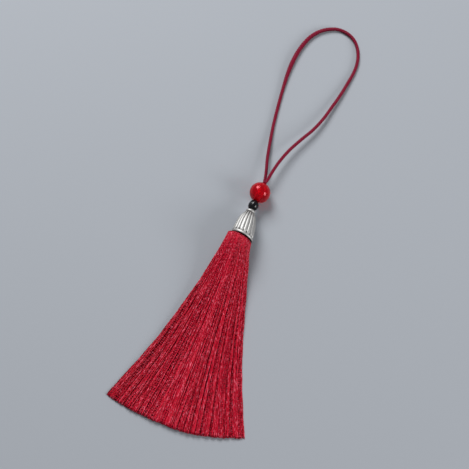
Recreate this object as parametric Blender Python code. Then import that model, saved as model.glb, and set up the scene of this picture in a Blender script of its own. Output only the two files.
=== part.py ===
"""A bookmark tassel that lies on a table: a fanned skirt of silky strands in a
fluted metal cap, a small black bead, a round red bead and a long cord loop.

The skirt points along -Y, the loop along +Y, and the table's top is at z = 0.
Lengths are in metres.
"""

import math
from collections import namedtuple

import bmesh
import bpy
import numpy as np
from mathutils import Vector
from mathutils.geometry import interpolate_bezier

GAP = 0.0003  # left between pieces that touch

SKIRT_LENGTH = 0.0750  # from the cap's rim to the longest tips
STRAND_COUNT = 224  # about
STRAND_CUT = 0.004  # the most by which a strand is cut short, as a share of the skirt
STRAND_TUCK = 0.02  # how much shorter the lowest strands are, as a share of the skirt
TIP_SKEW = 0.042  # the slope of the cut, which lies nearer the rim on its +X side
HOLLOW_DEPTH = 0.00065  # of a slight hollow in the cut
HOLLOW_MIDDLE = -0.38  # its place, as a share of the skirt's half width
HOLLOW_SPREAD = 0.57  # its half width, likewise
STRAND_SETTLE = 0.00032  # a strand this near the table rests on it

RIM_SIDE = 0.0002  # of the rim's middle from the skirt's, to +X
RIM_HEIGHT = 0.0053  # of the cap's centre line above the table, at the cap's rim
RIM_SKEW = 0.17  # the slope of the rim, which lies nearer the tips on its +X side
CAP_TURN = math.radians(-1.5)  # of the cap's line from +Y to +X
CAP_WALL = 0.0005
CAP_RIBS = 16
RIB_SIDES = 4  # sides that each rib takes round the cap
RIB_DEPTH = 0.00040
CROWN_TAPER = 0.0004  # how far the inside still narrows under the crown's hole
INSIDE_LEVELS = (0.0, 0.0012, 0.0040, 0.0062, 0.0080, 0.0092)  # above the rim

CORD_DIAMETER = 0.0012
CORE_RADIUS = 0.00075  # of the doubled cord, squeezed in the holes
HOLE_RADIUS = CORE_RADIUS + GAP

BEAD_RADIUS = 0.004
BEAD_FLAT = 0.00004  # cut off under the bead, for its flat spot
BEAD_SIDES = 30
BEAD_RINGS = 13
BEAD_TURN = math.radians(5.4)  # of the two beads' line from +Y to +X
SMALL_BEAD_RADIUS = 0.002
SMALL_BEAD_LENGTH = 0.0038
SMALL_BEAD_SIDES = 10
SMALL_BEAD_LEVELS = (-1.0, -0.55, 0.0, 0.55, 1.0)  # shares of its half length
SMALL_BEAD_ROUND = 0.8  # 1 is a ball that closes at its ends

# The cap's outline, from its collar down to its rim: the height above the rim,
# the radius, and how deep the grooves between the ribs are there.
CapRing = namedtuple("CapRing", "height radius groove")
CAP_RINGS = (
    CapRing(0.0117, 0.00140, 0.0),
    CapRing(0.0115, 0.00165, 0.0),
    CapRing(0.0113, 0.00175, 0.0),
    CapRing(0.0108, 0.00172, 0.0),
    CapRing(0.0106, 0.00160, 0.3),
    CapRing(0.0103, 0.00200, 0.7),
    CapRing(0.0094, 0.00262, 1.0),
    CapRing(0.0080, 0.00325, 1.0),
    CapRing(0.0060, 0.00375, 1.0),
    CapRing(0.0040, 0.00405, 1.0),
    CapRing(0.0019, 0.00424, 0.9),
    CapRing(0.0011, 0.00422, 0.0),
    CapRing(0.0009, 0.00442, 0.0),
    CapRing(0.0000, 0.00444, 0.0),
)
CAP_LENGTH = CAP_RINGS[0].height
CAP_RIM_RADIUS = CAP_RINGS[-1].radius

# The skirt's cross-sections, from the roots to the tips: the share of a strand's
# length, how far the bundle's middle lies to +X, its half width and height, its lift
# off the table, how round it is below (0 is flat), and a strand's width.
Section = namedtuple("Section", "along side half_width height lift under strand")
SECTIONS = (
    Section(-0.024, 0.0002, 0.00310, 0.0062, 0.00205, 1.0, 0.00025),
    Section(0.000, 0.0002, 0.00350, 0.0070, 0.00180, 1.0, 0.00030),
    Section(0.010, -0.0001, 0.00470, 0.0092, 0.00070, 1.0, 0.00039),
    Section(0.026, -0.0003, 0.00500, 0.0102, 0.00010, 1.0, 0.00041),
    Section(0.120, -0.0003, 0.00660, 0.0082, 0.00000, 0.7, 0.00045),
    Section(0.320, 0.0000, 0.01015, 0.0056, 0.00000, 0.2, 0.00047),
    Section(0.640, -0.0001, 0.01655, 0.0039, 0.00000, 0.0, 0.00049),
    Section(1.000, -0.0003, 0.02640, 0.0028, 0.00000, 0.0, 0.00052),
)

# The loop's centre line, from the bead's mouth up its left leg, round its top and
# down its right leg to the mouth again.
LOOP_ROUTE = (
    (0.0005, 0.0522, 0.0030),
    (-0.0004, 0.0562, 0.0027),
    (-0.0014, 0.0600, 0.0022),
    (-0.0023, 0.0645, 0.0017),
    (-0.0031, 0.0690, 0.0012),
    (-0.0039, 0.0742, 0.0008),
    (-0.0046, 0.0798, 0.0006),
    (-0.0052, 0.0861, 0.0006),
    (-0.0057, 0.0925, 0.0006),
    (-0.0060, 0.0986, 0.0006),
    (-0.0059, 0.1040, 0.0006),
    (-0.0053, 0.1094, 0.0006),
    (-0.0042, 0.1141, 0.0006),
    (-0.0025, 0.1183, 0.0006),
    (0.0000, 0.1216, 0.0006),
    (0.0033, 0.1240, 0.0006),
    (0.0070, 0.1252, 0.0006),
    (0.0106, 0.1248, 0.0006),
    (0.0138, 0.1232, 0.0006),
    (0.0164, 0.1203, 0.0006),
    (0.0182, 0.1162, 0.0006),
    (0.0189, 0.1118, 0.0006),
    (0.0187, 0.1075, 0.0007),
    (0.0179, 0.1025, 0.0009),
    (0.0168, 0.0965, 0.0012),
    (0.0153, 0.0904, 0.0015),
    (0.0137, 0.0841, 0.0019),
    (0.0114, 0.0780, 0.0023),
    (0.0083, 0.0721, 0.0027),
    (0.0056, 0.0665, 0.0031),
    (0.0037, 0.0610, 0.0036),
    (0.0026, 0.0565, 0.0039),
    (0.0019, 0.0524, 0.0041),
)
LOOP_POINTS = 60  # along the tube
LOOP_LEAN = math.radians(20)  # of the right end from straight above the left

BEZIER_STEPS = 12  # between two points of the route, before it is evened out

# Places along the cap's centre line, from its rim, and beyond it along the beads'.
HEAD_FACE = 0.0013
HEAD_TOP = CAP_LENGTH - CAP_WALL - GAP
HEAD_SHOULDER = HEAD_TOP - 0.0012
HEAD_TIP = HEAD_TOP - 0.0006
HEAD_LEVELS = 6
HEAD_SIDES = 24
TURN_POINT = CAP_LENGTH + GAP / 2
BEAD_HALF_BORE = math.sqrt(BEAD_RADIUS**2 - HOLE_RADIUS**2)
SMALL_BEAD_OFFSET = GAP / 2 + SMALL_BEAD_LENGTH / 2  # from the turn point
BEAD_OFFSET = GAP / 2 + SMALL_BEAD_LENGTH + GAP + BEAD_HALF_BORE
HEAD_LENGTH = TURN_POINT + BEAD_OFFSET + BEAD_RADIUS

# The line slopes down from the rim so that the bead touches the table.
SLOPE = math.asin((RIM_HEIGHT - BEAD_RADIUS + BEAD_FLAT) / (TURN_POINT + BEAD_OFFSET))


def line_at(turn):
    """The direction that turns from +Y to +X and slopes down."""
    level = math.cos(SLOPE)
    return Vector((math.sin(turn) * level, math.cos(turn) * level, -math.sin(SLOPE)))


# The rim lies where the skirt and the beads reach equally far from the origin.
RIM = Vector((RIM_SIDE, (SKIRT_LENGTH - HEAD_LENGTH) / 2, RIM_HEIGHT))
CAP_LINE = line_at(CAP_TURN)
BEAD_LINE = line_at(BEAD_TURN)
TURN = RIM + CAP_LINE * TURN_POINT
BEAD_CENTRE = TURN + BEAD_LINE * BEAD_OFFSET
BEAD_MOUTH = BEAD_CENTRE + BEAD_LINE * BEAD_HALF_BORE


def remove_objects():
    for item in list(bpy.data.objects):
        bpy.data.objects.remove(item, do_unlink=True)


def new_collection(name):
    collection = bpy.data.collections.new(name)
    bpy.context.scene.collection.children.link(collection)
    return collection


def material(name, colour, roughness, metallic=0.0):
    made = bpy.data.materials.new(name)
    made.use_nodes = True
    shader = made.node_tree.nodes["Principled BSDF"]
    shader.inputs["Base Color"].default_value = (*colour, 1)
    shader.inputs["Roughness"].default_value = roughness
    shader.inputs["Metallic"].default_value = metallic
    return made


def mesh_object(name, form, collection, finish):
    """Turns a bmesh into a named object in the collection."""
    mesh = bpy.data.meshes.new(name)
    form.to_mesh(mesh)
    form.free()
    mesh.materials.append(finish)
    made = bpy.data.objects.new(name, mesh)
    collection.objects.link(made)
    return made


def turned(profile, sides):
    """Spins a closed profile of (radius, height) points about Z."""
    form = bmesh.new()
    points = [form.verts.new((radius, 0, height)) for radius, height in profile]
    for start, end in zip(points, points[1:] + points[:1]):
        form.edges.new((start, end))
    bmesh.ops.spin(
        form,
        geom=form.verts[:] + form.edges[:],
        axis=(0, 0, 1),
        cent=(0, 0, 0),
        angle=math.tau,
        steps=sides,
        use_merge=True,
    )
    on_axis = [vert for vert in form.verts if math.hypot(vert.co.x, vert.co.y) < 1e-7]
    bmesh.ops.remove_doubles(form, verts=on_axis, dist=1e-6)
    bmesh.ops.recalc_face_normals(form, faces=form.faces[:])
    return form


def lay(item, place, line):
    """Puts an object's origin at the place, with its Z axis along the line."""
    item.location = place
    item.rotation_mode = "QUATERNION"
    item.rotation_quaternion = line.to_track_quat("Z", "Y")


def shade_smooth(item, sharp_above=35):
    item.data.shade_smooth()
    item.data.set_sharp_from_angle(angle=math.radians(sharp_above))


def cap_radius(height):
    """The cap's outer radius at a height above its rim."""
    heights = [ring.height for ring in reversed(CAP_RINGS)]
    radii = [ring.radius for ring in reversed(CAP_RINGS)]
    return float(np.interp(height, heights, radii))


def inner_radius(height):
    """The radius of the cap's plain inside, clear of its grooves."""
    return cap_radius(height) - RIB_DEPTH * 0.5 - CAP_WALL


def skew(form):
    """Tilts the rim of a bell that stands on Z: its local +X side rises."""
    for vert in form.verts:
        vert.co.z += RIM_SKEW * vert.co.x * (1 - vert.co.z / CAP_LENGTH)


def build_cap(collection, finish):
    """A thin bell, spun with a plain inside, then grooved between its ribs."""
    outside = [(ring.radius, ring.height) for ring in CAP_RINGS]
    inside = [(inner_radius(height), height) for height in INSIDE_LEVELS]
    inside[0] = (CAP_RIM_RADIUS - CAP_WALL, 0.0)
    crown = CAP_LENGTH - CAP_WALL
    inside += [(HOLE_RADIUS, crown - CROWN_TAPER), (HOLE_RADIUS, CAP_LENGTH)]
    form = turned(outside + inside, CAP_RIBS * RIB_SIDES)
    heights = [ring.height for ring in reversed(CAP_RINGS)]
    grooves = [ring.groove for ring in reversed(CAP_RINGS)]
    for vert in form.verts:
        radius = math.hypot(vert.co.x, vert.co.y)
        if radius < cap_radius(vert.co.z) - RIB_DEPTH / 4:
            continue  # on the inside
        angle = math.atan2(vert.co.y, vert.co.x)
        hollow = (1 - abs(math.sin(angle * CAP_RIBS / 2))) ** 1.5
        depth = RIB_DEPTH * hollow * np.interp(vert.co.z, heights, grooves)
        vert.co.x *= 1 - depth / radius
        vert.co.y *= 1 - depth / radius
    skew(form)
    cap = mesh_object("cap", form, collection, finish)
    lay(cap, RIM, CAP_LINE)
    shade_smooth(cap, 50)


def build_small_bead(collection, finish):
    """A black bead ground with flat facets."""
    half = SMALL_BEAD_LENGTH / 2
    outside = [
        (SMALL_BEAD_RADIUS * math.sqrt(1 - (SMALL_BEAD_ROUND * level) ** 2), half * level)
        for level in SMALL_BEAD_LEVELS
    ]
    profile = [(HOLE_RADIUS, -half)] + outside + [(HOLE_RADIUS, half)]
    bead = mesh_object("small_bead", turned(profile, SMALL_BEAD_SIDES), collection, finish)
    lay(bead, TURN + BEAD_LINE * SMALL_BEAD_OFFSET, BEAD_LINE)


def build_bead(collection, cutters, finish):
    """A round bead with a bore for the doubled cord and a small flat spot below."""
    bore_angle = math.asin(HOLE_RADIUS / BEAD_RADIUS)
    angles = np.linspace(bore_angle, math.pi - bore_angle, BEAD_RINGS)
    profile = [(BEAD_RADIUS * math.sin(a), BEAD_RADIUS * math.cos(a)) for a in angles]
    bead = mesh_object("bead", turned(profile, BEAD_SIDES), collection, finish)
    lay(bead, BEAD_CENTRE, BEAD_LINE)
    form = bmesh.new()
    bmesh.ops.create_cube(form, size=BEAD_RADIUS)
    table = mesh_object("bead_flat_cutter", form, cutters, finish)
    table.location = (BEAD_CENTRE.x, BEAD_CENTRE.y, -BEAD_RADIUS / 2)
    hide_cutter(table)
    add_boolean(bead, "DIFFERENCE", table)
    shade_smooth(bead)


def hide_cutter(item):
    item.hide_render = True
    item.display_type = "WIRE"


def add_boolean(item, operation, cutter):
    cut = item.modifiers.new(f"{operation.lower()} {cutter.name}", "BOOLEAN")
    cut.operation = operation
    cut.object = cutter
    cut.solver = "EXACT"


def tube(name, points, radius, collection, finish):
    """A cord as a bevelled curve with filled caps."""
    curve = bpy.data.curves.new(name, "CURVE")
    curve.dimensions = "3D"
    curve.bevel_depth = radius
    curve.bevel_resolution = 2
    curve.use_fill_caps = True
    spline = curve.splines.new("POLY")
    spline.points.add(len(points) - 1)
    for target, point in zip(spline.points, points):
        target.co = (*point, 1)
    curve.materials.append(finish)
    made = bpy.data.objects.new(name, curve)
    collection.objects.link(made)


def smooth_line(route, count):
    """Points at even steps on a smooth curve through the route's points."""
    route = [Vector(point) for point in route]
    before = [route[0] * 2 - route[1]] + route[:-1]
    after = route[1:] + [route[-1] * 2 - route[-2]]
    slopes = [(late - early) / 6 for early, late in zip(before, after)]
    fine = []
    for index in range(len(route) - 1):
        start, end = route[index], route[index + 1]
        handles = start + slopes[index], end - slopes[index + 1]
        fine += interpolate_bezier(start, *handles, end, BEZIER_STEPS)[:-1]
    fine = np.array(fine + [route[-1]])
    steps = np.linalg.norm(np.diff(fine, axis=0), axis=1)
    reached = np.concatenate([[0], np.cumsum(steps)])
    wanted = np.linspace(0, reached[-1], count)
    return np.stack([np.interp(wanted, reached, axis) for axis in fine.T], axis=1)


def build_core(collection, finish):
    """The doubled cord where it runs hidden from the cap's crown through both beads."""
    start = RIM + CAP_LINE * (HEAD_TOP + GAP)
    tube("cord_core", [start, TURN, BEAD_MOUTH], CORE_RADIUS, collection, finish)


def build_loop(collection, finish):
    """The free loop, whose two ends lie one upon the other at the bead's mouth."""
    mouth = BEAD_MOUTH + BEAD_LINE * GAP
    side = Vector((BEAD_LINE.y, -BEAD_LINE.x, 0)).normalized()
    upward = side.cross(BEAD_LINE)
    apart = side * math.sin(LOOP_LEAN) + upward * math.cos(LOOP_LEAN)
    apart *= CORD_DIAMETER / 2 + GAP / 4
    route = [mouth - apart] + [Vector(point) for point in LOOP_ROUTE] + [mouth + apart]
    points = smooth_line(route, LOOP_POINTS)
    points[:, 2] = np.maximum(points[:, 2], CORD_DIAMETER / 2)  # no lower than the table
    tube("cord_loop", points, CORD_DIAMETER / 2, collection, finish)


def strand_places():
    """The strands' places in a unit circle, on a grid of two golden ratios.

    Its points stay apart however much the circle is stretched along X or Z, so the
    strands keep one place each from the round root to the flat fan, and never cross.
    """
    golden = (1 + math.sqrt(5)) / 2
    step = math.sqrt(math.pi / (STRAND_COUNT * math.sqrt(5)))
    count = round(2 / step)  # enough to reach past the circle
    reach = range(-count, count + 1)
    grid = [(a + b * golden, a + b * (1 - golden)) for a in reach for b in reach]
    places = [(step * across, step * up) for across, up in grid]
    return [place for place in places if math.hypot(*place) < 1]


def strand_level(across, up, section):
    """The height at which a strand's flat side lies in a cross-section."""
    crown = math.sqrt(1 - across**2)
    middle = section.under + (1 - section.under) * crown
    level = section.lift + section.height / 2 * (middle + up)
    return 0.0 if level < STRAND_SETTLE and section.lift == 0 else level


def strand_tip(across, up, number):
    """The Y of a strand's tip: on an arc about the rim, unevenly cut."""
    golden = number * (math.sqrt(5) - 1) / 2 % 1
    depth = (math.sqrt(1 - across**2) - up) / 2
    length = SKIRT_LENGTH * (1 - STRAND_CUT * golden**2 - STRAND_TUCK * depth**2)
    reach = across * SECTIONS[-1].half_width
    hollow = max(0, 1 - ((across - HOLLOW_MIDDLE) / HOLLOW_SPREAD) ** 2)
    shorter = TIP_SKEW * reach + HOLLOW_DEPTH * hollow
    return RIM.y - math.sqrt(length**2 - reach**2) + shorter


def strand_rings(across, up, number):
    """A strand's three corners in each cross-section, flat side down."""
    tip = strand_tip(across, up, number)
    for section in SECTIONS:
        half, tall = section.strand / 2, section.strand * math.sqrt(3) / 2
        x = section.side + across * (section.half_width - half)
        skewed = RIM_SKEW * (x - RIM.x) * (1 - section.along)
        y = RIM.y - section.along * (RIM.y - tip) - skewed
        z = strand_level(across, up, section)
        yield (x - half, y, z), (x + half, y, z), (x, y, z + tall)


def build_strands(collection, finish):
    """All the strands, each lofted through the cross-sections."""
    form = bmesh.new()
    for number, place in enumerate(strand_places()):
        rings = [
            [form.verts.new(corner) for corner in corners]
            for corners in strand_rings(*place, number)
        ]
        form.faces.new(rings[0])
        form.faces.new(reversed(rings[-1]))
        for ring, following in zip(rings, rings[1:]):
            for side in range(3):
                after = (side + 1) % 3
                form.faces.new((ring[side], following[side], following[after], ring[after]))
    bmesh.ops.recalc_face_normals(form, faces=form.faces[:])
    return mesh_object("strands", form, collection, finish)


def build_skirt(collection, cutters, finish):
    """The tassel's head, a plug that fills the cap, with the strands fused to it."""
    levels = np.linspace(HEAD_FACE, HEAD_SHOULDER, HEAD_LEVELS)
    outside = [(inner_radius(height) - GAP, height) for height in levels]
    profile = [(0, HEAD_FACE)] + outside + [(CORE_RADIUS, HEAD_TIP), (0, HEAD_TIP)]
    form = turned(profile, HEAD_SIDES)
    skew(form)
    head = mesh_object("skirt", form, collection, finish)
    lay(head, RIM, CAP_LINE)
    strands = build_strands(cutters, finish)
    hide_cutter(strands)
    add_boolean(head, "UNION", strands)


def build_tassel():
    remove_objects()
    tassel = new_collection("Bookmark tassel")
    cutters = new_collection("Cutters")
    silver = material("Oxidised silver alloy", (0.62, 0.61, 0.58), 0.28, 1.0)
    black = material("Black glass", (0.01, 0.01, 0.012), 0.08)
    red = material("Red glazed bead", (0.55, 0.005, 0.008), 0.12)
    rayon = material("Crimson rayon", (0.42, 0.01, 0.03), 0.45)
    silk = material("Crimson cord", (0.32, 0.008, 0.025), 0.55)
    build_skirt(tassel, cutters, rayon)
    build_cap(tassel, silver)
    build_small_bead(tassel, black)
    build_bead(tassel, cutters, red)
    build_core(tassel, silk)
    build_loop(tassel, silk)


build_tassel()
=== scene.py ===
# A bookmark tassel on a pale table: a fan of rayon threads in a fluted silver cap,
# a black and a red bead, and a long loop of twisted cord.
import math

import bmesh
import bpy
import numpy as np
from mathutils import Matrix, Vector
from mathutils.geometry import interpolate_bezier


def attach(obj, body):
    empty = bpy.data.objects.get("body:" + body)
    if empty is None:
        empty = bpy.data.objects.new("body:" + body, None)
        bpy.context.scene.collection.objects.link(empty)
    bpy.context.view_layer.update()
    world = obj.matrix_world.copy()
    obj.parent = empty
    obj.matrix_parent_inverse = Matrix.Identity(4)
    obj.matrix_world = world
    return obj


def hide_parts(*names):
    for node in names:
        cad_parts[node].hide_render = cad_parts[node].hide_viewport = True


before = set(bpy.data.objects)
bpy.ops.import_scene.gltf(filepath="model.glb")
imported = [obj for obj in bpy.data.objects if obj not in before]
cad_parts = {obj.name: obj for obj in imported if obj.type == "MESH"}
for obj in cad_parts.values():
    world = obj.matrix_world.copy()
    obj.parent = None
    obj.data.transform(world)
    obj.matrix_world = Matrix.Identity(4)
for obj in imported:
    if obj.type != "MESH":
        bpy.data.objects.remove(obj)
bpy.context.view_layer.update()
scene = bpy.context.scene
mm = 0.001
draw = np.random.default_rng(7)


# Small tools that the pieces share.

def colour(hexCode):
    # sRGB hex to the linear values that shaders take
    parts = [int(hexCode[i:i + 2], 16) / 255 for i in (1, 3, 5)]
    linear = [p / 12.92 if p <= 0.04045 else ((p + 0.055) / 1.055) ** 2.4 for p in parts]
    return (*linear, 1.0)


def addNode(tree, kind, settings, links=()):
    # adds one node, fills its sockets or options, and links sources into it
    node = tree.nodes.new(kind)
    for name, value in settings.items():
        if isinstance(name, int) or name in node.inputs:
            node.inputs[name].default_value = value
        else:
            setattr(node, name, value)
    for socket, source in dict(links).items():
        tree.links.new(source, node.inputs[socket])
    return node


def newMaterial(name, settings):
    # a material with these values in its Principled shader, its tree and that shader
    made = bpy.data.materials.new(name)
    made.use_nodes = True
    shader = made.node_tree.nodes["Principled BSDF"]
    for socket, value in settings.items():
        shader.inputs[socket].default_value = value
    return made, made.node_tree, shader


def eased(x, xs, ys):
    # a smooth line through a table's points that never overshoots them
    x, xs, ys = np.asarray(x, float), np.array(xs, float), np.array(ys, float)
    step = np.diff(xs)
    rise = np.diff(ys) / step
    both = rise[:-1] * rise[1:]
    inner = np.where(both > 0, 2 * both / np.where(both > 0, rise[:-1] + rise[1:], 1), 0)
    slope = np.concatenate([rise[:1], inner, rise[-1:]])
    i = np.clip(np.searchsorted(xs, x) - 1, 0, len(step) - 1)
    t = np.clip((x - xs[i]) / step[i], 0, 1)
    start = (1 + 2 * t) * (1 - t) ** 2 * ys[i] + t * (1 - t) ** 2 * step[i] * slope[i]
    end = t * t * (3 - 2 * t) * ys[i + 1] - t * t * (1 - t) * step[i] * slope[i + 1]
    return start + end


def keepPiece(piece, material, node):
    # a piece of the tassel, drawn in place of one node of the CAD model
    scene.collection.objects.link(piece)
    piece.data.materials.append(material)
    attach(piece, "root")
    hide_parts(node)
    return piece


def addPiece(name, form, material, node):
    # makes the finished form a smooth piece
    for face in form.faces:
        face.smooth = True
    mesh = bpy.data.meshes.new(name)
    form.to_mesh(mesh)
    form.free()
    keepPiece(bpy.data.objects.new(name, mesh), material, node)


def spun(profile, steps):
    # turns a closed (radius, height) outline about Z
    form = bmesh.new()
    verts = [form.verts.new((radius, 0, height)) for radius, height in profile]
    for a, b in zip(verts, verts[1:] + verts[:1]):
        form.edges.new((a, b))
    bmesh.ops.spin(form, geom=form.verts[:] + form.edges[:], axis=(0, 0, 1), cent=(0, 0, 0),
                   angle=math.tau, steps=steps, use_merge=True)
    poles = [v for v in form.verts if math.hypot(v.co.x, v.co.y) < 1e-7]
    bmesh.ops.remove_doubles(form, verts=poles, dist=1e-6)
    bmesh.ops.recalc_face_normals(form, faces=form.faces[:])
    return form


def lineFrom(turn, slope):
    # a direction that turns from +Y to +X and slopes down, in degrees
    a, b = math.radians(turn), math.radians(slope)
    return Vector((math.sin(a) * math.cos(b), math.cos(a) * math.cos(b), -math.sin(b)))


def lay(form, place, line):
    # puts a form made about Z at its place, with Z along the line
    turn = line.to_track_quat("Z", "Y").to_matrix().to_4x4()
    bmesh.ops.transform(form, matrix=Matrix.Translation(place) @ turn, verts=form.verts[:])


def tubes(name, lines, radii, tilts, section, shades=None):
    # one tube along each line, with the section's outline, its ends closed;
    # shades holds one value for each point of each line, for the material
    outline = bpy.data.curves.new("outline", "CURVE")
    ring = outline.splines.new("POLY")
    ring.points.add(len(section) - 1)
    ring.use_cyclic_u = True
    for point, (x, y) in zip(ring.points, section):
        point.co = (x, y, 0, 1)
    outlineObject = bpy.data.objects.new("outline", outline)
    curve = bpy.data.curves.new(name, "CURVE")
    curve.dimensions = "3D"
    curve.bevel_mode = "OBJECT"
    curve.bevel_object = outlineObject
    count = len(lines[0])
    for line, radius, tilt in zip(lines, radii, tilts):
        spline = curve.splines.new("POLY")
        spline.points.add(count - 1)
        spline.points.foreach_set("co", np.column_stack([line, np.ones(count)]).ravel())
        spline.points.foreach_set("radius", radius)
        spline.points.foreach_set("tilt", tilt)
    holder = bpy.data.objects.new(name + "Line", curve)
    scene.collection.objects.link(holder)
    mesh = bpy.data.meshes.new_from_object(
        holder.evaluated_get(bpy.context.evaluated_depsgraph_get()))
    mesh.name = name
    if shades is not None:
        mesh.attributes.new("shade", "FLOAT", "POINT").data.foreach_set(
            "value", np.repeat(np.ravel(shades), len(section)).astype(np.float32))
    form = bmesh.new()
    form.from_mesh(mesh)
    bmesh.ops.holes_fill(form, edges=[e for e in form.edges if e.is_boundary],
                         sides=len(section))
    bmesh.ops.recalc_face_normals(form, faces=form.faces[:])
    for face in form.faces:
        face.smooth = True
    form.to_mesh(mesh)
    form.free()
    for item in (holder, outlineObject):
        bpy.data.objects.remove(item)
    return bpy.data.objects.new(name, mesh)


def smoothLine(route, step, fineness=24):
    # points about one step apart on a smooth curve through the route
    route = [Vector(p) for p in route]
    before = [route[0] * 2 - route[1]] + route[:-1]
    after = route[1:] + [route[-1] * 2 - route[-2]]
    slopes = [(b - a) / 6 for a, b in zip(before, after)]
    fine = []
    for i in range(len(route) - 1):
        fine += interpolate_bezier(route[i], route[i] + slopes[i],
                                   route[i + 1] - slopes[i + 1], route[i + 1], fineness)[:-1]
    fine = np.array(fine + [route[-1]])
    reached = np.concatenate([[0], np.cumsum(np.linalg.norm(np.diff(fine, axis=0), axis=1))])
    wanted = np.linspace(0, reached[-1], int(reached[-1] / step) + 1)
    return np.column_stack([np.interp(wanted, reached, axis) for axis in fine.T])


# The camera looks down on the table from the skirt's right.

cameraStyle = {
    "target": (-3.3 * mm, 27.5 * mm, 0),  # on the table, at the picture's middle
    "distance": 395.4 * mm,
    "elevation": 70.0,
    "turn": 19.5,  # how far the tassel turns clockwise in the picture
    "lens": 80,
    "sensor": 36,
    "clip": 10 * mm,
}


def addCamera(style):
    forward = lineFrom(-style["turn"], style["elevation"])
    data = bpy.data.cameras.new("camera")
    data.lens = style["lens"]
    data.sensor_width = style["sensor"]
    data.clip_start = style["clip"]
    camera = bpy.data.objects.new("camera", data)
    camera.location = Vector(style["target"]) - forward * style["distance"]
    camera.rotation_mode = "QUATERNION"
    camera.rotation_quaternion = forward.to_track_quat("-Z", "Y")
    scene.collection.objects.link(camera)
    scene.camera = camera


addCamera(cameraStyle)
print("camera placed")


# The cord: a thin loop, and its two legs through the cap's crown and the beads.

cordStyle = {
    "diameter": 1.32 * mm,
    "plies": 3,
    "pitch": 3.4 * mm,  # one whole twist
    "plyShare": 0.57,  # a ply's radius as a share of the cord's
    "step": 0.32 * mm,
    "sides": 7,
    "dark": "#4A0018",
    "bright": "#86002A",
    "grain": 0.48 * mm,  # of its lighter and darker fibres
    "fibreRidge": 0.04 * mm,
}

loopSwell = {  # how much thicker the cord is along the loop
    "along": [0.0, 0.24, 0.34, 0.42, 0.50, 0.90, 1.0],
    "scale": [1.0, 1.05, 1.45, 1.30, 1.08, 1.05, 1.0],
}

loopRoute = [
    (0.00081, 0.04951, 0.00305),
    (0.0005, 0.0522, 0.0030),
    (-0.0004, 0.0562, 0.0027),
    (-0.0014, 0.0600, 0.0022),
    (-0.0023, 0.0645, 0.0017),
    (-0.0031, 0.0690, 0.0012),
    (-0.0039, 0.0742, 0.0008),
    (-0.0046, 0.0798, 0.0006),
    (-0.0052, 0.0861, 0.0006),
    (-0.0057, 0.0925, 0.0006),
    (-0.0060, 0.0986, 0.0006),
    (-0.0059, 0.1040, 0.0006),
    (-0.0053, 0.1094, 0.0006),
    (-0.0042, 0.1141, 0.0006),
    (-0.0025, 0.1183, 0.0006),
    (0.0000, 0.1216, 0.0006),
    (0.0033, 0.1240, 0.0006),
    (0.0070, 0.1252, 0.0006),
    (0.0106, 0.1248, 0.0006),
    (0.0138, 0.1232, 0.0006),
    (0.0164, 0.1203, 0.0006),
    (0.0182, 0.1162, 0.0006),
    (0.0189, 0.1118, 0.0006),
    (0.0187, 0.1075, 0.0007),
    (0.0179, 0.1025, 0.0009),
    (0.0168, 0.0965, 0.0012),
    (0.0153, 0.0904, 0.0015),
    (0.0137, 0.0841, 0.0019),
    (0.0114, 0.0780, 0.0023),
    (0.0083, 0.0721, 0.0027),
    (0.0056, 0.0665, 0.0031),
    (0.0037, 0.0610, 0.0036),
    (0.0026, 0.0565, 0.0039),
    (0.0019, 0.0524, 0.0041),
    (0.00128, 0.04955, 0.00431),
]


def cordMaterial(style):
    # Polyester thread twisted into a cord: satin fibres that catch a soft line of light
    made, tree, shader = newMaterial("twisted polyester cord", {
        "Roughness": 0.50, "Specular IOR Level": 0.15})
    place = addNode(tree, "ShaderNodeTexCoord", {})
    grain = addNode(tree, "ShaderNodeTexNoise", {"Scale": 1 / style["grain"], "Detail": 3.0},
                    {"Vector": place.outputs["Object"]})
    mix = addNode(tree, "ShaderNodeMixRGB", {"Color1": colour(style["dark"]),
                                             "Color2": colour(style["bright"])},
                  {"Fac": grain.outputs["Fac"]})
    tree.links.new(mix.outputs["Color"], shader.inputs["Base Color"])
    uv = addNode(tree, "ShaderNodeUVMap", {"uv_map": "UVMap"})
    fibres = addNode(tree, "ShaderNodeTexWave", {"Scale": 3.0, "bands_direction": "Y"},
                     {"Vector": uv.outputs["UV"]})
    bump = addNode(tree, "ShaderNodeBump", {"Strength": 0.3, "Distance": style["fibreRidge"]},
                   {"Height": fibres.outputs["Fac"]})
    tree.links.new(bump.outputs["Normal"], shader.inputs["Normal"])
    return made


def plyLines(line, swell, style):
    # the centre lines of the plies that twist about the cord's own line
    ahead = np.gradient(line, axis=0)
    ahead /= np.linalg.norm(ahead, axis=1)[:, None]
    across = np.cross(ahead, (0, 0, 1))
    across /= np.linalg.norm(across, axis=1)[:, None]
    up = np.cross(across, ahead)
    run = np.arange(len(line)) * style["step"] / style["pitch"] * math.tau
    out = style["diameter"] / 2 * (1 - style["plyShare"]) * swell[:, None]
    lines = []
    for ply in range(style["plies"]):
        angle = (run + ply * math.tau / style["plies"])[:, None]
        lines.append(line + out * (across * np.cos(angle) + up * np.sin(angle)))
    return lines


def addCord(name, line, swell, material, style, node):
    # lays the cord's twisted plies along a line; swell says how thick it is on the way
    lines = plyLines(line, swell, style)
    angles = np.arange(style["sides"]) * math.tau / style["sides"]
    radius = style["diameter"] / 2 * style["plyShare"]
    section = np.column_stack([np.cos(angles), np.sin(angles)]) * radius
    thick = [swell.astype(np.float32)] * len(lines)
    untilted = [np.zeros(len(line), np.float32)] * len(lines)
    piece = tubes(name, lines, thick, untilted, section)
    return keepPiece(piece, material, node)


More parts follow.
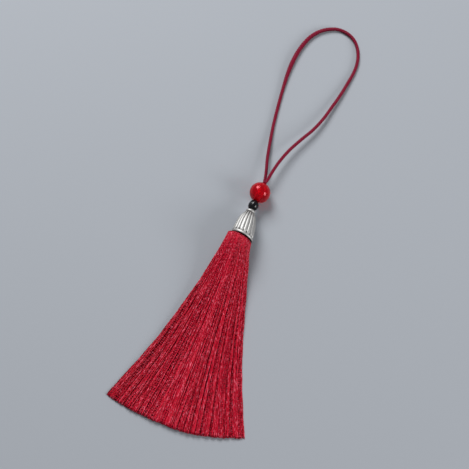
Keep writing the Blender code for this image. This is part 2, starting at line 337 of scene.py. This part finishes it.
cordFinish = cordMaterial(cordStyle)
loopLine = smoothLine(loopRoute, cordStyle["step"])
swell = eased(np.linspace(0, 1, len(loopLine)), loopSwell["along"], loopSwell["scale"])
loopLine[:, 2] = np.maximum(loopLine[:, 2], cordStyle["diameter"] / 2 * swell)
loop = addCord("cordLoop", loopLine, swell, cordFinish, cordStyle, "cord_loop")


# Where the cap and the beads lie: their lines run from the rim down to the red bead.

headPlace = {
    "rim": Vector((0.2, 25.52, 5.3)) * mm,  # the middle of the cap's rim
    "slope": 3.85,  # degrees down, for both lines
    "capTurn": -1.5,  # degrees from +Y to +X
    "beadTurn": 5.4,
    "gap": 0.3 * mm,  # between the cap and the beads
}
capLine = lineFrom(headPlace["capTurn"], headPlace["slope"])
beadLine = lineFrom(headPlace["beadTurn"], headPlace["slope"])


# The cap: a cast bell with rounded ribs, a collar and a plain rim. Its sizes are in mm.

capStyle = {
    "outline": [  # height above the rim and radius
        (0.0, 4.26), (0.05, 4.36), (0.16, 4.43), (0.5, 4.45), (0.8, 4.43), (0.93, 4.36),
        (1.0, 4.24), (1.1, 4.20), (1.3, 4.23), (1.6, 4.24), (1.9, 4.235), (2.2, 4.23),
        (2.8, 4.19), (3.4, 4.13), (4.0, 4.06), (4.7, 3.97), (5.4, 3.87), (6.0, 3.76),
        (6.6, 3.63), (7.2, 3.48), (7.8, 3.31), (8.4, 3.10), (8.9, 2.88), (9.3, 2.68),
        (9.6, 2.52), (9.85, 2.36), (10.1, 2.19), (10.3, 2.04), (10.45, 1.86), (10.6, 1.66),
        (10.7, 1.64), (10.78, 1.70), (10.9, 1.76), (11.1, 1.79), (11.3, 1.77), (11.48, 1.69),
        (11.62, 1.55), (11.7, 1.38), (11.7, 1.05)],
    "inside": [(10.8, 1.05), (9.2, 1.97), (8.0, 2.54), (6.2, 3.0), (4.0, 3.34), (1.2, 3.52),
               (0.0, 3.96)],
    "length": 11.7,
    "ribs": 16,
    "ribSteps": 12,
    "ribDepth": 0.40,
    "ribRound": 0.38,  # 1 gives round ribs, 0 flat ones with narrow grooves
    "petalEnd": (1.02, 2.15),  # where the ribs round off above the rim
    "ribTop": (10.62, 9.7),  # and below the collar
    "skin": 0.05,  # how far from the outline still counts as the outer face
    "pit": 8.4,  # the silver is darker above this
    # how much darker all of the outer silver is above that height, ribs too
    "collarDarkening": 0.3,
    "pitEnd": 11.6,  # up to the collar's top
    "skew": 0.17,  # the rim reaches further down on its +X side
    "bright": "#A9A8A6",
    "oxide": "#4A4846",
    "oxideRange": (0.50, 1.05),  # of the recess, from bright to dark
    "roughness": (0.57, 0.70),  # of the bright silver and of the oxide
    "grain": 0.35,
}


def ribHollow(share, height, style):
    # how deep the surface lies between the ribs, from 0 on a rib's top to 1
    low, high = style["petalEnd"]
    top, below = style["ribTop"]
    if height <= low or height >= top:
        return 0.0
    width = 1.0
    if height < high:
        width = math.sqrt(max(0.0, 1 - ((high - height) / (high - low)) ** 2))
    if height > below:
        width = math.sqrt(max(0.0, 1 - ((height - below) / (top - below)) ** 2))
    across = share / max(width, 0.05)  # where the ribs end, their width is next to nothing
    return min(1.0, style["ribRound"] * across ** 2 + (1 - style["ribRound"]) * across ** 6)


def skewRim(form):
    # tilts what lies in the cap's own frame as the rim is, less and less up to the collar
    for vert in form.verts:
        height = vert.co.z / mm
        vert.co.z += capStyle["skew"] * vert.co.x * (1 - height / capStyle["length"])


def buildCap(style):
    outline = [(r * mm, h * mm) for h, r in style["outline"]]
    outline += [(r * mm, h * mm) for h, r in style["inside"]]
    form = spun(outline, style["ribs"] * style["ribSteps"])
    recess = form.verts.layers.float.new("recess")
    heights, radii = zip(*style["outline"])
    for vert in form.verts:
        height = vert.co.z / mm
        radius = vert.co.xy.length / mm
        outside = radius > np.interp(height, heights, radii) - style["skin"]
        if outside and height < style["pitEnd"]:
            turn = math.atan2(vert.co.y, vert.co.x) / math.tau * style["ribs"]
            share = abs(2 * (turn % 1) - 1)  # 0 in the middle of a rib, 1 in a groove
            hollow = ribHollow(share, height, style)
            vert.co.xy *= 1 - hollow * style["ribDepth"] / radius
            pit = min(1, max(0, height - style["pit"]))
            # the oxide in the grooves, and all of the silver darker toward the collar
            vert[recess] = hollow * (1 + pit) + style["collarDarkening"] * pit
    skewRim(form)
    lay(form, headPlace["rim"], capLine)
    return form


def silverMaterial(style):
    # Zinc alloy, cast, silver plated and antiqued: bright worn ribs, and dark oxide
    # left in the grooves
    made, tree, shader = newMaterial("antiqued silver plate", {"Metallic": 1.0})
    recess = addNode(tree, "ShaderNodeAttribute", {"attribute_name": "recess"})
    place = addNode(tree, "ShaderNodeTexCoord", {})
    grain = addNode(tree, "ShaderNodeTexNoise", {
        "Scale": 1 / (style["grain"] * mm), "Detail": 4.0}, {"Vector": place.outputs["Object"]})
    stain = addNode(tree, "ShaderNodeMath", {"operation": "MULTIPLY_ADD", 1: 0.5, 2: -0.25},
                    {0: grain.outputs["Fac"]})
    total = addNode(tree, "ShaderNodeMath", {"operation": "ADD"},
                    {0: recess.outputs["Fac"], 1: stain.outputs[0]})
    clean, stained = style["oxideRange"]
    oxide = addNode(tree, "ShaderNodeMapRange", {"From Min": clean, "From Max": stained},
                    {"Value": total.outputs[0]})
    mix = addNode(tree, "ShaderNodeMixRGB", {"Color1": colour(style["bright"]),
                                             "Color2": colour(style["oxide"])},
                  {"Fac": oxide.outputs["Result"]})
    worn, dull = style["roughness"]
    rough = addNode(tree, "ShaderNodeMapRange", {"To Min": worn, "To Max": dull},
                    {"Value": oxide.outputs["Result"]})
    bump = addNode(tree, "ShaderNodeBump", {"Strength": 0.10, "Distance": 0.04 * mm},
                   {"Height": grain.outputs["Fac"]})
    tree.links.new(mix.outputs["Color"], shader.inputs["Base Color"])
    tree.links.new(rough.outputs["Result"], shader.inputs["Roughness"])
    tree.links.new(bump.outputs["Normal"], shader.inputs["Normal"])
    return made


addPiece("ribbedCap", buildCap(capStyle), silverMaterial(capStyle), "cap")
print("cap cast")


# The beads: a small black one with ground facets, and a round red one.

beadStyle = {
    "radius": 4.0 * mm,
    "bore": 1.05 * mm,
    "steps": 72,
    "rings": 40,
    "lip": 0.14 * mm,  # rounds the bore's edge
    "red": "#EA001C",
    "deep": "#BC0014",
    "cloud": 3.0 * mm,  # of the deeper red
}

smallBeadStyle = {
    "radius": 2.0 * mm,
    "length": 3.8 * mm,
    "bore": 1.05 * mm,
    "round": 0.8,  # 0 gives a cylinder, 1 a ball
    "levels": (-1.0, -0.52, 0.0, 0.52, 1.0),  # between its rows of facets
    "sides": 12,
    "edge": 0.16 * mm,
    "sharpest": 12,  # degrees, the least angle of an edge that is rounded
    "black": "#08080A",
    "grey": "#141216",
    "smear": 0.8 * mm,
}


def alongBeads(distance):
    # a point on the beads' line, measured from where it leaves the cap
    turn = headPlace["rim"] + capLine * (capStyle["length"] * mm + headPlace["gap"] / 2)
    return turn + beadLine * distance


def buildBead(style):
    radius, bore, lip = style["radius"], style["bore"], style["lip"]
    start = math.asin((bore + lip) / radius)
    angles = np.linspace(start, math.pi - start, style["rings"])
    profile = [(radius * math.sin(a), radius * math.cos(a)) for a in angles]
    end = profile[0][1]
    corner = lip * 0.3  # the lip's round lies this near to its corner
    profile = [(bore, end - lip), (bore + corner, end - corner)] + profile
    profile += [(bore + corner, corner - end), (bore, lip - end)]
    form = spun(profile, style["steps"])
    half = smallBeadStyle["length"] + 1.5 * headPlace["gap"]
    lay(form, alongBeads(half + math.sqrt(radius ** 2 - bore ** 2)), beadLine)
    for vert in form.verts:
        vert.co.z = max(vert.co.z, 0.0)  # the flat spot that it rests on
    return form


def buildSmallBead(style):
    half, radius = style["length"] / 2, style["radius"]
    profile = [(radius * math.sqrt(1 - (style["round"] * level) ** 2), half * level)
               for level in style["levels"]]
    form = spun([(style["bore"], -half)] + profile + [(style["bore"], half)], style["sides"])
    sharpest = math.radians(style["sharpest"])
    edges = [e for e in form.edges if e.calc_face_angle(0) > sharpest]
    bmesh.ops.bevel(form, geom=edges, offset=style["edge"], segments=3, profile=0.5,
                    affect="EDGES", material=-1, clamp_overlap=True)
    lay(form, alongBeads(headPlace["gap"] / 2 + half), beadLine)
    return form


def redMaterial(style):
    # Resin bead, dyed through and polished: an even wet gloss over a deep red
    made, tree, shader = newMaterial("polished red resin", {
        "Roughness": 0.13, "IOR": 1.50, "Specular IOR Level": 0.45,
        "Specular Tint": (1.0, 0.28, 0.32, 1.0), "Transmission Weight": 0.70})
    place = addNode(tree, "ShaderNodeTexCoord", {})
    cloud = addNode(tree, "ShaderNodeTexNoise", {"Scale": 1 / style["cloud"], "Detail": 3.0},
                    {"Vector": place.outputs["Object"]})
    mix = addNode(tree, "ShaderNodeMixRGB", {"Color1": colour(style["deep"]),
                                             "Color2": colour(style["red"])},
                  {"Fac": cloud.outputs["Fac"]})
    tree.links.new(mix.outputs["Color"], shader.inputs["Base Color"])
    return made


def blackMaterial(style):
    # Black glass, cut and fire polished: hard bright glints on near black
    made, tree, shader = newMaterial("fire polished black glass", {
        "IOR": 1.52, "Specular IOR Level": 0.20})
    place = addNode(tree, "ShaderNodeTexCoord", {})
    smear = addNode(tree, "ShaderNodeTexNoise", {"Scale": 1 / style["smear"], "Detail": 2.0},
                    {"Vector": place.outputs["Object"]})
    rough = addNode(tree, "ShaderNodeMapRange", {"To Min": 0.06, "To Max": 0.20},
                    {"Value": smear.outputs["Fac"]})
    mix = addNode(tree, "ShaderNodeMixRGB", {"Color1": colour(style["black"]),
                                             "Color2": colour(style["grey"])},
                  {"Fac": smear.outputs["Fac"]})
    tree.links.new(mix.outputs["Color"], shader.inputs["Base Color"])
    tree.links.new(rough.outputs["Result"], shader.inputs["Roughness"])
    return made


addPiece("redBead", buildBead(beadStyle), redMaterial(beadStyle), "bead")
addPiece("blackBead", buildSmallBead(smallBeadStyle), blackMaterial(smallBeadStyle),
         "small_bead")
print("beads threaded")


# The cord's two legs, from inside the cap's crown through both beads.

legStyle = {
    "apart": 0.34 * mm,
    "diameter": 0.78 * mm,  # squeezed by the bores
    "start": 11.2 * mm,  # above the cap's rim
    "straight": 2.0 * mm,  # inside the red bead's mouth
}


def addLegs(style):
    start = headPlace["rim"] + capLine * style["start"]
    mouth = Vector(loopRoute[0]) / 2 + Vector(loopRoute[-1]) / 2
    corner = alongBeads(0)
    legCord = dict(cordStyle, diameter=style["diameter"])
    for side, end in (("Left", loopRoute[0]), ("Right", loopRoute[-1])):
        across = (Vector(end) - mouth).normalized() * style["apart"]
        inner = mouth - beadLine * style["straight"] + across
        route = [start + across, corner + across, corner.lerp(inner, 0.5), inner, Vector(end)]
        line = smoothLine(route, cordStyle["step"])
        addCord("cordLeg" + side, line, np.ones(len(line)), cordFinish, legCord, "cord_core")


addLegs(legStyle)
print("cord legs drawn through")


# The skirt: about a thousand twisted threads that gather in locks as they fan out.

skirtShape = {  # cross-sections of the bundle, from its roots to its tips, in mm
    "along": [-0.024, 0.0, 0.005, 0.012, 0.030, 0.12, 0.32, 0.64, 1.0],
    "side": [0.2, 0.2, -0.2, -0.4, -0.4, -0.3, 0.0, -0.1, -0.3],
    "halfWidth": [3.10, 3.50, 4.62, 4.98, 5.12, 6.60, 10.15, 16.55, 26.4],
    "height": [6.2, 7.0, 9.1, 9.75, 10.2, 8.2, 5.5, 3.3, 1.75],
    "lift": [2.05, 1.80, 0.85, 0.55, 0.10, 0.0, 0.0, 0.0, 0.0],
    "under": [1.0, 1.0, 1.0, 1.0, 1.0, 0.7, 0.2, 0.0, 0.0],  # 1 is round below, 0 is flat
    "threadRadius": [0.11, 0.12, 0.165, 0.18, 0.19, 0.185, 0.18, 0.18, 0.18],
}

skirtStyle = {
    "length": 75.0 * mm,
    "tipSkew": 0.042,  # the cut lies nearer the rim on its +X side
    "hollow": (0.65 * mm, -0.38, 0.57),  # in the cut: its depth, and its middle and spread across
    "parts": 5,  # side by side, each a piece
    "threads": 1000,  # about: as many as an even grid gives, 997
    "section": [(1.0, 0.0), (-0.62, 0.78), (-0.62, -0.78)],  # a thread's outline, a triangle
    "thickness": (0.86, 1.08),  # of single threads, against threadRadius
    "steps": 108,
    "crowding": 1.25,  # brings a thread's points nearer to each other at the cap
    "twist": 5.0 * mm,
    "locks": 54,  # likewise, 51
    "lockReach": 0.97,  # how near the bundle's edge the locks come
    "lockScatter": 0.018,  # how far they stray from an even grid
    "lockSquash": 0.9,  # less makes them taller and narrower
    "clump": (0.07, 0.26),  # how far a lock's threads draw together at the tips
    "gatherFrom": 0.03,  # where they start to, as a share of the skirt's length
    "gatherOver": 0.38,  # and over what share of it
    "evenBelow": 0.4,  # the threads that lie lowest stay even
    "edge": 0.995,  # how near the fan's edges the outer threads lie
    "dome": 0.44 * mm,  # how far a lock's sides sink below its middle
    "lockWander": 0.15 * mm,
    "lockRate": (0.6, 1.6),  # how often it sways from the cap to the tips
    "threadWander": 0.08 * mm,
    "threadRate": (3.0, 8.0),
    "trim": 0.2 * mm,  # off all the tips, for the threads' uneven ends
    "lockCut": 0.12 * mm,  # how unevenly the locks are cut, and the threads in them
    "threadCut": 0.12 * mm,
    "shade": 0.6,  # a thread's own, from 0 to 1
    "threadShade": 0.15,  # how much threads differ
    "lockShade": 0.12,  # how much locks differ
    "paintedLockSideShade": 0.36,  # painted shade: how much darker a lock is at its sides
    "paintedEdgeShade": 0.52,  # painted shade: how much darker the whole skirt is at its sides
    "paintedCreaseDepth": 1.5,  # painted shade: how much darker the threads are where they dip under the cap's rim
    "creaseReach": 0.013,  # down from the rim, as a share of the skirt's length
}

rayonStyle = {
    "dark": "#A4041E",
    "bright": "#CC0A32",
    "paintedGlintAndSheen": "#F88AA0",
    # painted shade in the crease under the cap's rim
    "paintedCreaseShade": "#3C000E",
    "sparkle": 1.3 * mm,  # between the painted glints along a thread, coarser than real, so that they show
    "apart": 400.0,  # keeps one thread's glints off the next one's
    "speckle": 2.5,  # how much a thread's colour changes along it: painted highlights of the thread's twist
    "lightness": (0.7, -1.08),  # what a thread's shade adds, and what is added to all
    "paintedGlintRange": (0.54, 0.70),  # of the speckle, from where a painted glint starts to its brightest
    "paintedGlintShare": 0.50,
    "ridge": 0.16 * mm,
}


def goldenGrid(count):
    # places in a unit circle that stay apart however it is stretched
    golden = (1 + math.sqrt(5)) / 2
    step = math.sqrt(math.pi / (count * math.sqrt(5)))
    reach = int(2.2 / step)  # more than enough to fill the circle
    a, b = np.meshgrid(np.arange(-reach, reach + 1), np.arange(-reach, reach + 1))
    places = step * np.column_stack([(a + b * golden).ravel(), (a + b * (1 - golden)).ravel()])
    return places[np.hypot(*places.T) < 1]


def skirtAt(column, along):
    # one of the bundle's sizes on the way from its roots to its tips
    return eased(along, skirtShape["along"], skirtShape[column])


def lockThreads(style):
    # where the threads lie in the bundle, the locks' middles, the lock that each thread
    # is in, and how far it lies from that lock's middle
    places = goldenGrid(style["threads"])
    middles = goldenGrid(style["locks"]) * style["lockReach"]
    middles += draw.normal(0, style["lockScatter"], middles.shape)
    tipSize = np.array([skirtShape["halfWidth"][-1],
                        skirtShape["height"][-1] * style["lockSquash"]])
    far = np.linalg.norm((places[:, None] - middles[None]) * tipSize, axis=2)
    lock = far.argmin(1)
    return places, middles, lock, places - middles[lock]


def gatherThreads(places, offset, clump, gather, style):
    # places across and up the bundle, from -1 to 1, as the locks draw together
    level = places[:, 1] / np.sqrt(1 - places[:, 0] ** 2)
    upper = np.clip((level + style["evenBelow"]) / (2 * style["evenBelow"]), 0, 1)
    pull = (clump * upper)[:, None] * gather[None]
    across = places[:, :1] - offset[:, :1] * pull
    across = across / abs(across).max(axis=0) * style["edge"]  # the fan keeps its edges
    crown = np.sqrt(1 - across ** 2)
    up = places[:, 1:] - offset[:, 1:] * pull * 0.5  # half as much as across
    return across, np.clip(up, -crown, crown), crown


def fanThreads(across, up, crown, along, radius):
    # spreads the bundle to its real size, and gives the lowest line that a thread can take
    halfWidth = skirtAt("halfWidth", along) * mm - radius
    height = skirtAt("height", along) * mm - 2 * radius
    lowest = skirtAt("lift", along) * mm + radius
    under = skirtAt("under", along)
    x = across * halfWidth + skirtAt("side", along) * mm
    z = lowest + height / 2 * (under + (1 - under) * crown + up)
    return x, z, lowest


def swayThreads(x, z, along, lock, lockCount, style):
    # slow wandering of each lock to its sides, and quick wandering of each thread, which
    # is less up and down than to its sides
    wave = along[None] * math.tau
    lockPhase = draw.uniform(0, math.tau, (lockCount, 2))[lock]
    lockRate = draw.uniform(*style["lockRate"], (lockCount, 2))[lock]
    threadPhase = draw.uniform(0, math.tau, (len(lock), 2))
    threadRate = draw.uniform(*style["threadRate"], (len(lock), 2))
    grow = np.clip(along, 0, 1)[None]
    sway = style["lockWander"] * np.sin(wave * lockRate[:, :1] + lockPhase[:, :1]) * grow
    shake = style["threadWander"] * np.clip(grow * 6, 0, 1)  # in full from a sixth of the way
    x = x + sway + shake * np.sin(wave * threadRate[:, :1] + threadPhase[:, :1])
    z = z + 0.7 * shake * np.sin(wave * threadRate[:, 1:] + threadPhase[:, 1:])
    return x, z


def cutTips(across, x, lock, lockCount, style):
    # where each thread ends, on an arc about the cap's rim
    cut = draw.normal(0, style["lockCut"], lockCount)[lock]
    cut = np.clip(cut, -2 * style["lockCut"], style["lockCut"])
    cut = cut + draw.normal(0, style["threadCut"], len(lock))
    length = style["length"] + cut - style["trim"]
    tips = headPlace["rim"].y - np.sqrt(length ** 2 - x ** 2) + style["tipSkew"] * x
    depth, middle, spread = style["hollow"]
    return tips + depth * np.clip(1 - ((across - middle) / spread) ** 2, 0, 1)


def threadShades(across, side, along, gather, lock, lockCount, style):
    # how light the threads are, from 0 to 1: their own random tone with painted shade at the
    # locks' sides and the skirt's sides, and less than 0 for painted shade in the crease at the
    # rim
    lockShade = draw.uniform(-style["lockShade"], style["lockShade"], lockCount)[lock]
    # painted shade at each lock's sides
    lockShade = lockShade - style["paintedLockSideShade"] * side ** 2
    own = style["shade"] + draw.normal(0, style["threadShade"], len(lock))
    shades = own[:, None] + lockShade[:, None] * np.sqrt(gather)
    # painted shade at the skirt's sides
    shades = shades - style["paintedEdgeShade"] * abs(across) ** 3
    # painted shade in the crease under the cap's rim
    paintedCreaseShade = style["paintedCreaseDepth"] * np.clip(1 - along / style["creaseReach"], 0, 1)
    return np.clip(shades, 0, 1) - paintedCreaseShade


def threadLines(style):
    # each thread's centre line, from inside the cap to its cut tip, and how thick, how
    # far turned and how light it is along that line
    root = skirtShape["along"][0]
    along = root + (1 - root) * np.linspace(0, 1, style["steps"]) ** style["crowding"]
    gather = np.clip((along - style["gatherFrom"]) / style["gatherOver"], 0, 1)
    radius = skirtAt("threadRadius", along) * mm
    places, middles, lock, offset = lockThreads(style)
    count, lockCount = len(places), len(middles)
    clump = draw.uniform(*style["clump"], lockCount)[lock]
    across, up, crown = gatherThreads(places, offset, clump, gather, style)
    x, z, lowest = fanThreads(across, up, crown, along, radius)
    # a lock's sides sink, most in the locks on top
    halfSpan = np.array([abs(offset[lock == k, 0]).max(initial=1e-6) for k in range(lockCount)])
    side = (offset[:, 0] / halfSpan[lock]) ** 2
    top = np.clip((up / crown + 1) / 2, 0, 1)
    z = z - style["dome"] * side[:, None] * top * gather
    x, z = swayThreads(x, z, along, lock, lockCount, style)
    z = np.maximum(z, lowest)
    rim = headPlace["rim"]
    tips = cutTips(across[:, -1], x[:, -1], lock, lockCount, style)
    y = rim.y - along[None] * (rim.y - tips[:, None])
    y = y - capStyle["skew"] * (x - rim.x) * (1 - along[None])
    lines = np.stack([x, y, z], axis=2)
    run = along * style["length"]
    way = np.where(draw.random(count) < 0.5, -1, 1)[:, None]  # some are twisted the other way
    start = draw.uniform(0, 6.28, (count, 1))  # radians, nearly a whole turn
    tilts = way * run[None] / style["twist"] * math.tau + start
    radii = radius[None] / mm * draw.uniform(*style["thickness"], (count, 1))
    shades = threadShades(across, side, along, gather, lock, lockCount, style)
    return lines, radii.astype(np.float32), tilts.astype(np.float32), shades


def rayonMaterial(style):
    # Viscose rayon, twisted and dyed: smooth fibres with a silky sheen, and small painted glints
    # its colour also holds painted shade at the locks' sides, the skirt's sides and under the
    # cap's rim
    made, tree, shader = newMaterial("dyed rayon thread", {
        "Roughness": 0.38, "Specular IOR Level": 0.16, "Sheen Weight": 0.04,
        "Sheen Roughness": 0.30, "Sheen Tint": colour(style["paintedGlintAndSheen"])})
    shade = addNode(tree, "ShaderNodeAttribute", {"attribute_name": "shade"})
    uv = addNode(tree, "ShaderNodeUVMap", {"uv_map": "UVMap"})
    parts = addNode(tree, "ShaderNodeSeparateXYZ", {}, {"Vector": uv.outputs["UV"]})
    # a pattern that runs along each thread and around it, another on each thread
    run = addNode(tree, "ShaderNodeMath", {"operation": "MULTIPLY",
                                           1: skirtStyle["length"] / style["sparkle"]},
                  {0: parts.outputs["X"]})
    own = addNode(tree, "ShaderNodeMath", {"operation": "MULTIPLY", 1: style["apart"]},
                  {0: shade.outputs["Fac"]})
    around = addNode(tree, "ShaderNodeMath", {"operation": "MULTIPLY", 1: 2.0},
                     {0: parts.outputs["Y"]})
    spot = addNode(tree, "ShaderNodeCombineXYZ", {}, {
        "X": run.outputs[0], "Y": own.outputs[0], "Z": around.outputs[0]})
    speckle = addNode(tree, "ShaderNodeTexNoise", {"Scale": 1.0, "Detail": 2.0},
                      {"Vector": spot.outputs["Vector"]})
    # the dye, lighter or darker with the thread's shade, which holds its own random tone and
    # painted shade, and with the speckle's painted highlights of the twist
    gain, level = style["lightness"]
    lightness = addNode(tree, "ShaderNodeMath", {"operation": "MULTIPLY_ADD", 1: gain, 2: level},
                        {0: shade.outputs["Fac"]})
    total = addNode(tree, "ShaderNodeMath", {"operation": "MULTIPLY_ADD", "use_clamp": True,
                                             1: style["speckle"]},
                    {0: speckle.outputs["Fac"], 2: lightness.outputs[0]})
    dyeWithPaintedShadeAndGlints = addNode(tree, "ShaderNodeMixRGB", {"Color1": colour(style["dark"]),
                                              "Color2": colour(style["bright"])},
                   {"Fac": total.outputs[0]})
    # painted glints: the glint colour mixed in where the speckle is highest
    faint, full = style["paintedGlintRange"]
    shine = addNode(tree, "ShaderNodeMapRange", {"From Min": faint, "From Max": full,
                                                 "To Max": style["paintedGlintShare"]},
                    {"Value": speckle.outputs["Fac"]})
    withPaintedGlints = addNode(tree, "ShaderNodeMixRGB", {"Color2": colour(style["paintedGlintAndSheen"])},
                       {"Fac": shine.outputs["Result"], "Color1": dyeWithPaintedShadeAndGlints.outputs["Color"]})
    # painted shade: the crease colour mixed in where the shade falls below 0, under the cap's rim
    paintedCreaseShade = addNode(tree, "ShaderNodeMapRange", {"From Min": 0.0, "From Max": -0.8},
                     {"Value": shade.outputs["Fac"]})
    mix = addNode(tree, "ShaderNodeMixRGB", {"Color2": colour(style["paintedCreaseShade"])},
                  {"Fac": paintedCreaseShade.outputs["Result"], "Color1": withPaintedGlints.outputs["Color"]})
    bump = addNode(tree, "ShaderNodeBump", {"Strength": 1.0, "Distance": style["ridge"]},
                   {"Height": speckle.outputs["Fac"]})
    tree.links.new(mix.outputs["Color"], shader.inputs["Base Color"])
    tree.links.new(bump.outputs["Normal"], shader.inputs["Normal"])
    return made


rayon = rayonMaterial(rayonStyle)
lines, radii, tilts, shades = threadLines(skirtStyle)
section = np.array(skirtStyle["section"]) * mm
leftToRight = np.argsort(lines[:, -1, 0])
for part, chosen in enumerate(np.array_split(leftToRight, skirtStyle["parts"])):
    threads = tubes("skirtThreads%d" % (part + 1), lines[chosen], radii[chosen],
                    tilts[chosen], section, shades[chosen])
    keepPiece(threads, rayon, "skirt")


headStyle = {  # heights above the cap's rim and radii, in mm
    "bottom": 1.3,
    "top": 9.2,
    "levels": 8,
    "gap": 0.3,  # to the cap's wall
    "tie": (0.75, 10.2),  # radius and height
    "steps": 48,
}


def buildHead(style):
    # the tied head that fills the cap, as plain as it is hidden
    heights, radii = zip(*sorted(capStyle["inside"]))
    tieRadius, tieHeight = style["tie"]
    levels = np.linspace(style["bottom"], style["top"], style["levels"])
    profile = [(0, style["bottom"] * mm)]
    profile += [((np.interp(h, heights, radii) - style["gap"]) * mm, h * mm) for h in levels]
    profile += [(tieRadius * mm, tieHeight * mm), (0, tieHeight * mm)]
    form = spun(profile, style["steps"])
    skewRim(form)
    lay(form, headPlace["rim"], capLine)
    return form


addPiece("skirtHead", buildHead(headStyle), rayon, "skirt")
print("skirt threads laid:", len(lines))


# The floor and the lights.

lightStyle = {
    "floor": "#8E9298",
    "floorSize": 1.5,
    "aim": (0, 0.03, 0),  # what both lights point at
    "key": {"towards": (-0.470, 0.540, 0.700), "distance": 0.9, "size": 0.46, "power": 10.3},
    "fill": {"towards": (0.905, -0.096, 0.415), "distance": 0.9, "size": 0.36, "power": 5.6},
    "skyColour": "#E6E9EE",
    "sky": 0.36,
}


def addLight(name, style):
    data = bpy.data.lights.new(name, "AREA")
    data.size = style["size"]
    data.energy = style["power"]
    light = bpy.data.objects.new(name, data)
    towards = Vector(style["towards"]).normalized()
    light.location = Vector(lightStyle["aim"]) + towards * style["distance"]
    light.rotation_mode = "QUATERNION"
    light.rotation_quaternion = (-towards).to_track_quat("-Z", "Y")
    scene.collection.objects.link(light)


def addFloor(style):
    form = bmesh.new()
    bmesh.ops.create_grid(form, x_segments=1, y_segments=1, size=style["floorSize"])
    mesh = bpy.data.meshes.new("floor")
    form.to_mesh(mesh)
    form.free()
    floor = bpy.data.objects.new("floor", mesh)
    scene.collection.objects.link(floor)
    # Board painted with a flat paint: an even, pale surface without gloss
    board = newMaterial("painted board", {
        "Base Color": colour(style["floor"]), "Roughness": 0.85})[0]
    mesh.materials.append(board)


def addSky(style):
    world = bpy.data.worlds.new("soft sky")
    world.use_nodes = True
    background = world.node_tree.nodes["Background"]
    background.inputs["Color"].default_value = colour(style["skyColour"])
    background.inputs["Strength"].default_value = style["sky"]
    scene.world = world


addFloor(lightStyle)
addLight("key", lightStyle["key"])
addLight("fill", lightStyle["fill"])
addSky(lightStyle)
scene.view_settings.view_transform = "Standard"
print("floor and lights set")
